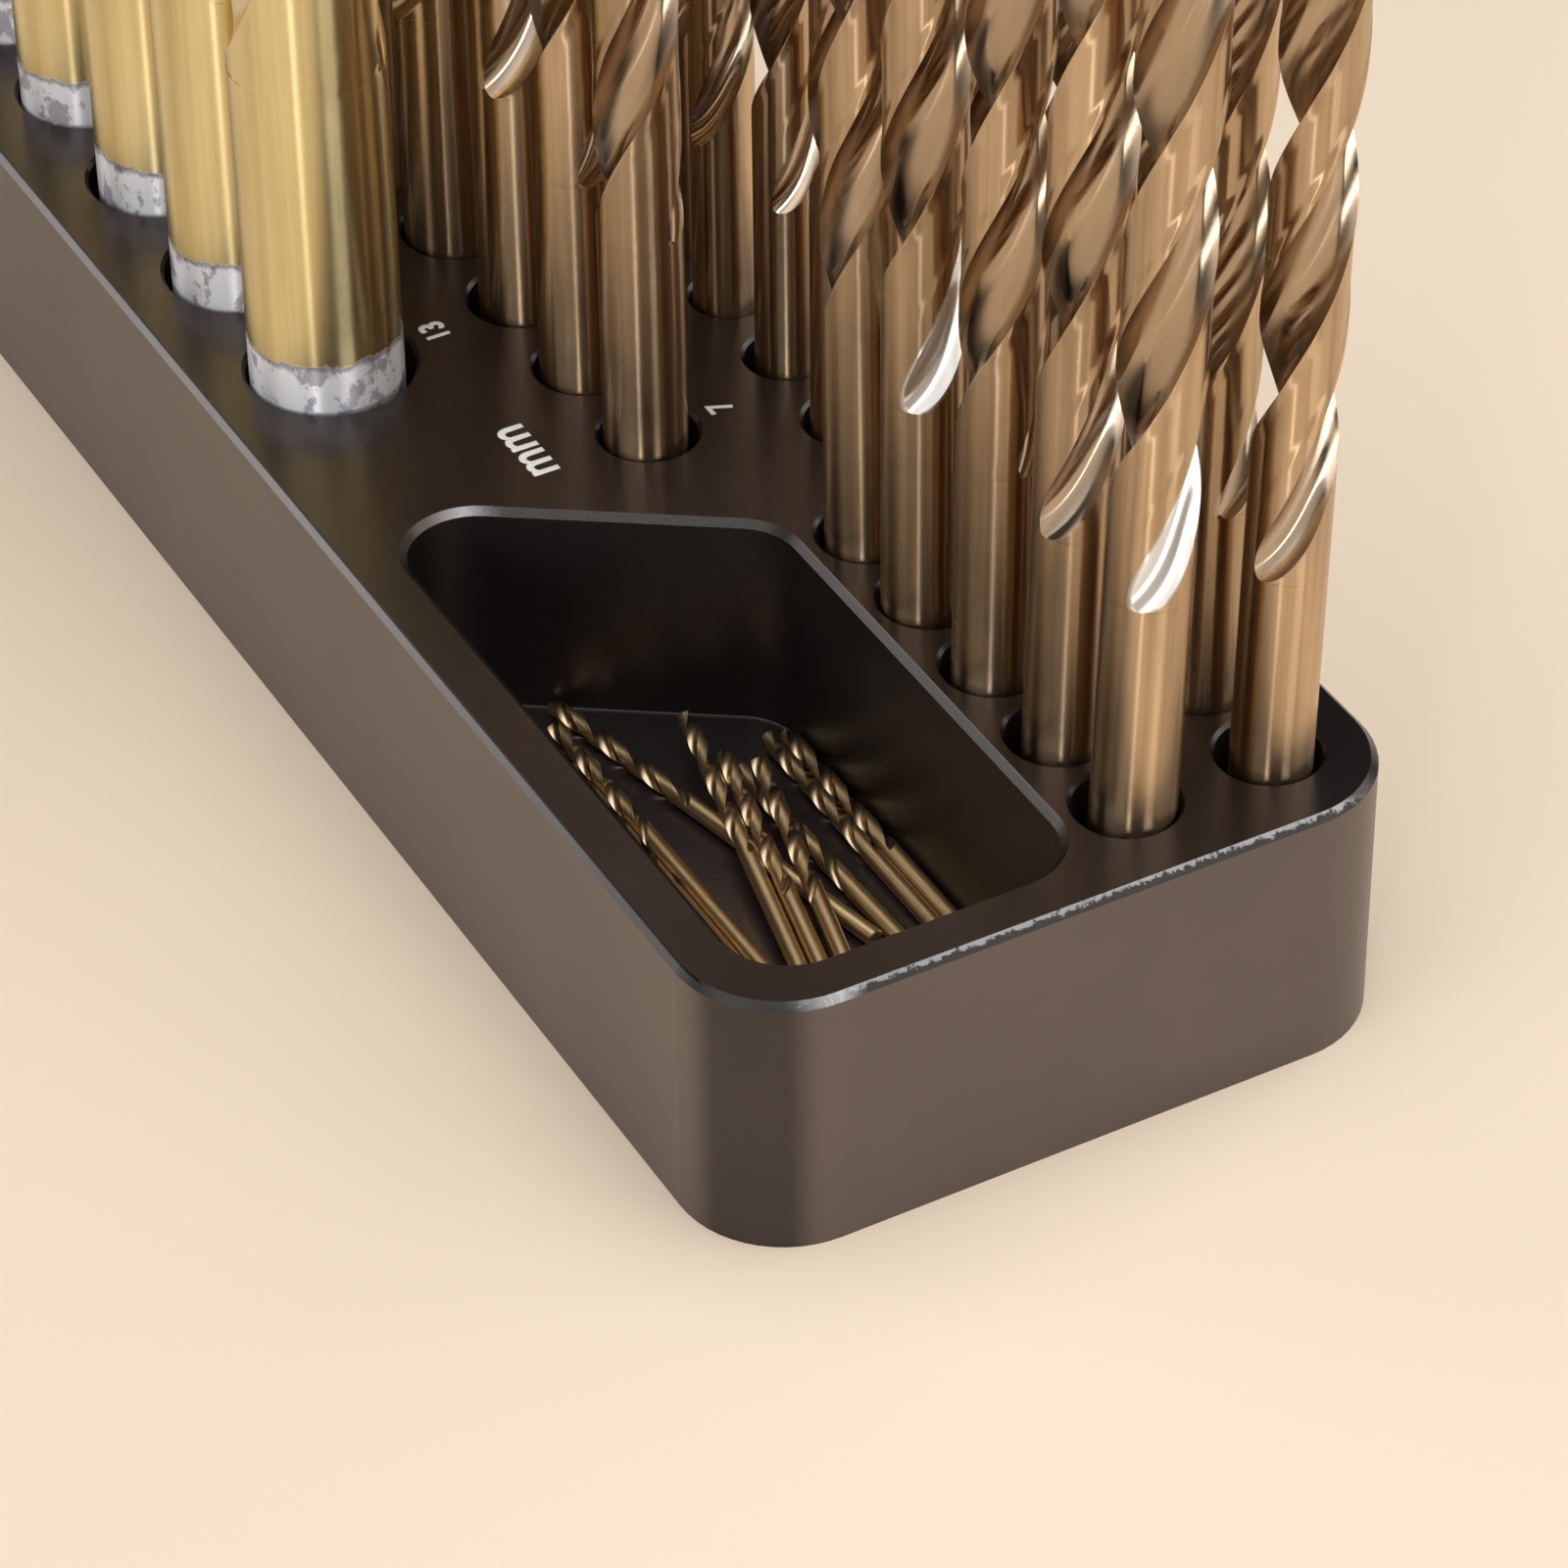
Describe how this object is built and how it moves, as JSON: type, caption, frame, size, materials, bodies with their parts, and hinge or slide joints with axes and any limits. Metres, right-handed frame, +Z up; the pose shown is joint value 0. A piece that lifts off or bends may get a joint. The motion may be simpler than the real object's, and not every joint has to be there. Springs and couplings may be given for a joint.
{
  "type": "drill bit stand",
  "caption": "Machined block that holds a series of twist drills upright in sized holes, with a slant-ended tray for loose bits and two rows of extra holes beside it.",
  "frame": {"origin": "centre of the block's underside, on the surface it stands on", "axes": "+X along the rows from the tray end to the far end, +Y from the front rows to the row of the largest bits, +Z up along the bits"},
  "size_m": [0.17, 0.06, 0.1551],
  "materials": {
    "anodised_block": "satin black anodised",
    "bronze_steel": "bronze oxide, ground",
    "gold_steel": "gold oxide, ground",
    "straw_steel": "straw oxide, ground"
  },
  "bodies": {
    "stand_block": {"stand_block": "anodised_block"},
    "bit_6_5mm": {"bit_6_5mm": "bronze_steel"},
    "bit_6_0mm": {"bit_6_0mm": "bronze_steel"},
    "bit_5_5mm": {"bit_5_5mm": "bronze_steel"},
    "bit_5_0mm": {"bit_5_0mm": "bronze_steel"},
    "bit_4_5mm": {"bit_4_5mm": "bronze_steel"},
    "bit_4_0mm": {"bit_4_0mm": "bronze_steel"},
    "bit_3_5mm": {"bit_3_5mm": "bronze_steel"},
    "bit_3_0mm": {"bit_3_0mm": "bronze_steel"},
    "bit_2_5mm": {"bit_2_5mm": "bronze_steel"},
    "bit_2_0mm": {"bit_2_0mm": "bronze_steel"},
    "bit_1_5mm": {"bit_1_5mm": "bronze_steel"},
    "bit_1_0mm": {"bit_1_0mm": "bronze_steel"},
    "bit_7_0mm": {"bit_7_0mm": "bronze_steel"},
    "bit_7_5mm": {"bit_7_5mm": "bronze_steel"},
    "bit_8_0mm": {"bit_8_0mm": "bronze_steel"},
    "bit_8_5mm": {"bit_8_5mm": "bronze_steel"},
    "bit_9_0mm": {"bit_9_0mm": "bronze_steel"},
    "bit_9_5mm": {"bit_9_5mm": "bronze_steel"},
    "bit_10_0mm": {"bit_10_0mm": "bronze_steel"},
    "bit_10_5mm": {"bit_10_5mm": "bronze_steel"},
    "bit_13_0mm": {"bit_13_0mm": "gold_steel"},
    "bit_12_5mm": {"bit_12_5mm": "gold_steel"},
    "bit_12_0mm": {"bit_12_0mm": "gold_steel"},
    "bit_11_5mm": {"bit_11_5mm": "gold_steel"},
    "bit_11_0mm": {"bit_11_0mm": "gold_steel"},
    "tapping_bit_1": {"tapping_bit_1": "bronze_steel"},
    "tapping_bit_2": {"tapping_bit_2": "bronze_steel"},
    "tapping_bit_3": {"tapping_bit_3": "bronze_steel"},
    "tapping_bit_4": {"tapping_bit_4": "bronze_steel"},
    "tapping_bit_5": {"tapping_bit_5": "bronze_steel"},
    "pilot_bit_1": {"pilot_bit_1": "bronze_steel"},
    "pilot_bit_2": {"pilot_bit_2": "bronze_steel"},
    "pilot_bit_3": {"pilot_bit_3": "bronze_steel"},
    "pilot_bit_4": {"pilot_bit_4": "bronze_steel"},
    "pilot_bit_5": {"pilot_bit_5": "bronze_steel"},
    "spare_bit_a": {"spare_bit_a": "straw_steel"},
    "spare_bit_b": {"spare_bit_b": "straw_steel"},
    "spare_bit_c": {"spare_bit_c": "straw_steel"},
    "spare_bit_d": {"spare_bit_d": "straw_steel"},
    "spare_bit_e": {"spare_bit_e": "straw_steel"},
    "spare_bit_f": {"spare_bit_f": "straw_steel"},
    "spare_bit_g": {"spare_bit_g": "straw_steel"},
    "spare_bit_h": {"spare_bit_h": "straw_steel"},
    "spare_bit_i": {"spare_bit_i": "straw_steel"}
  },
  "joints": [
    {"name": "bit_6_5mm_lift", "type": "slide", "parent": "stand_block", "child": "bit_6_5mm", "axis": [0, 0, 1], "range_m": [0, 0.03]},
    {"name": "bit_6_0mm_lift", "type": "slide", "parent": "stand_block", "child": "bit_6_0mm", "axis": [0, 0, 1], "range_m": [0, 0.03]},
    {"name": "bit_5_5mm_lift", "type": "slide", "parent": "stand_block", "child": "bit_5_5mm", "axis": [0, 0, 1], "range_m": [0, 0.03]},
    {"name": "bit_5_0mm_lift", "type": "slide", "parent": "stand_block", "child": "bit_5_0mm", "axis": [0, 0, 1], "range_m": [0, 0.03]},
    {"name": "bit_4_5mm_lift", "type": "slide", "parent": "stand_block", "child": "bit_4_5mm", "axis": [0, 0, 1], "range_m": [0, 0.03]},
    {"name": "bit_4_0mm_lift", "type": "slide", "parent": "stand_block", "child": "bit_4_0mm", "axis": [0, 0, 1], "range_m": [0, 0.03]},
    {"name": "bit_3_5mm_lift", "type": "slide", "parent": "stand_block", "child": "bit_3_5mm", "axis": [0, 0, 1], "range_m": [0, 0.03]},
    {"name": "bit_3_0mm_lift", "type": "slide", "parent": "stand_block", "child": "bit_3_0mm", "axis": [0, 0, 1], "range_m": [0, 0.03]},
    {"name": "bit_2_5mm_lift", "type": "slide", "parent": "stand_block", "child": "bit_2_5mm", "axis": [0, 0, 1], "range_m": [0, 0.03]},
    {"name": "bit_2_0mm_lift", "type": "slide", "parent": "stand_block", "child": "bit_2_0mm", "axis": [0, 0, 1], "range_m": [0, 0.03]},
    {"name": "bit_1_5mm_lift", "type": "slide", "parent": "stand_block", "child": "bit_1_5mm", "axis": [0, 0, 1], "range_m": [0, 0.03]},
    {"name": "bit_1_0mm_lift", "type": "slide", "parent": "stand_block", "child": "bit_1_0mm", "axis": [0, 0, 1], "range_m": [0, 0.03]},
    {"name": "bit_7_0mm_lift", "type": "slide", "parent": "stand_block", "child": "bit_7_0mm", "axis": [0, 0, 1], "range_m": [0, 0.03]},
    {"name": "bit_7_5mm_lift", "type": "slide", "parent": "stand_block", "child": "bit_7_5mm", "axis": [0, 0, 1], "range_m": [0, 0.03]},
    {"name": "bit_8_0mm_lift", "type": "slide", "parent": "stand_block", "child": "bit_8_0mm", "axis": [0, 0, 1], "range_m": [0, 0.03]},
    {"name": "bit_8_5mm_lift", "type": "slide", "parent": "stand_block", "child": "bit_8_5mm", "axis": [0, 0, 1], "range_m": [0, 0.03]},
    {"name": "bit_9_0mm_lift", "type": "slide", "parent": "stand_block", "child": "bit_9_0mm", "axis": [0, 0, 1], "range_m": [0, 0.03]},
    {"name": "bit_9_5mm_lift", "type": "slide", "parent": "stand_block", "child": "bit_9_5mm", "axis": [0, 0, 1], "range_m": [0, 0.03]},
    {"name": "bit_10_0mm_lift", "type": "slide", "parent": "stand_block", "child": "bit_10_0mm", "axis": [0, 0, 1], "range_m": [0, 0.03]},
    {"name": "bit_10_5mm_lift", "type": "slide", "parent": "stand_block", "child": "bit_10_5mm", "axis": [0, 0, 1], "range_m": [0, 0.03]},
    {"name": "bit_13_0mm_lift", "type": "slide", "parent": "stand_block", "child": "bit_13_0mm", "axis": [0, 0, 1], "range_m": [0, 0.03]},
    {"name": "bit_12_5mm_lift", "type": "slide", "parent": "stand_block", "child": "bit_12_5mm", "axis": [0, 0, 1], "range_m": [0, 0.03]},
    {"name": "bit_12_0mm_lift", "type": "slide", "parent": "stand_block", "child": "bit_12_0mm", "axis": [0, 0, 1], "range_m": [0, 0.03]},
    {"name": "bit_11_5mm_lift", "type": "slide", "parent": "stand_block", "child": "bit_11_5mm", "axis": [0, 0, 1], "range_m": [0, 0.03]},
    {"name": "bit_11_0mm_lift", "type": "slide", "parent": "stand_block", "child": "bit_11_0mm", "axis": [0, 0, 1], "range_m": [0, 0.03]},
    {"name": "tapping_bit_1_lift", "type": "slide", "parent": "stand_block", "child": "tapping_bit_1", "axis": [0, -0.0314, 0.9995], "range_m": [0, 0.03]},
    {"name": "tapping_bit_2_lift", "type": "slide", "parent": "stand_block", "child": "tapping_bit_2", "axis": [0, -0.0209, 0.9998], "range_m": [0, 0.03]},
    {"name": "tapping_bit_3_lift", "type": "slide", "parent": "stand_block", "child": "tapping_bit_3", "axis": [0, -0.0105, 0.9999], "range_m": [0, 0.03]},
    {"name": "tapping_bit_4_lift", "type": "slide", "parent": "stand_block", "child": "tapping_bit_4", "axis": [0, 0, 1], "range_m": [0, 0.03]},
    {"name": "tapping_bit_5_lift", "type": "slide", "parent": "stand_block", "child": "tapping_bit_5", "axis": [0, 0.0105, 0.9999], "range_m": [0, 0.03]},
    {"name": "pilot_bit_1_lift", "type": "slide", "parent": "stand_block", "child": "pilot_bit_1", "axis": [0, -0.0227, 0.9997], "range_m": [0, 0.03]},
    {"name": "pilot_bit_2_lift", "type": "slide", "parent": "stand_block", "child": "pilot_bit_2", "axis": [0, -0.0122, 0.9999], "range_m": [0, 0.03]},
    {"name": "pilot_bit_3_lift", "type": "slide", "parent": "stand_block", "child": "pilot_bit_3", "axis": [0, -0.0017, 1], "range_m": [0, 0.03]},
    {"name": "pilot_bit_4_lift", "type": "slide", "parent": "stand_block", "child": "pilot_bit_4", "axis": [0, 0.0087, 1], "range_m": [0, 0.03]},
    {"name": "pilot_bit_5_lift", "type": "slide", "parent": "stand_block", "child": "pilot_bit_5", "axis": [0, 0.0192, 0.9998], "range_m": [0, 0.03]},
    {"name": "spare_bit_a_lift", "type": "slide", "parent": "stand_block", "child": "spare_bit_a", "axis": [0, 0, 1], "range_m": [0, 0.03]},
    {"name": "spare_bit_b_lift", "type": "slide", "parent": "stand_block", "child": "spare_bit_b", "axis": [0, 0, 1], "range_m": [0, 0.03]},
    {"name": "spare_bit_c_lift", "type": "slide", "parent": "stand_block", "child": "spare_bit_c", "axis": [0, 0, 1], "range_m": [0, 0.03]},
    {"name": "spare_bit_d_lift", "type": "slide", "parent": "spare_bit_a", "child": "spare_bit_d", "axis": [0, 0, 1], "range_m": [0, 0.03]},
    {"name": "spare_bit_e_lift", "type": "slide", "parent": "spare_bit_g", "child": "spare_bit_e", "axis": [0, 0, 1], "range_m": [0, 0.03]},
    {"name": "spare_bit_f_lift", "type": "slide", "parent": "spare_bit_g", "child": "spare_bit_f", "axis": [0, 0, 1], "range_m": [0, 0.03]},
    {"name": "spare_bit_g_lift", "type": "slide", "parent": "spare_bit_a", "child": "spare_bit_g", "axis": [0, 0, 1], "range_m": [0, 0.03]},
    {"name": "spare_bit_h_lift", "type": "slide", "parent": "stand_block", "child": "spare_bit_h", "axis": [0, 0, 1], "range_m": [0, 0.03]},
    {"name": "spare_bit_i_lift", "type": "slide", "parent": "stand_block", "child": "spare_bit_i", "axis": [0, 0, 1], "range_m": [0, 0.03]}
  ]
}
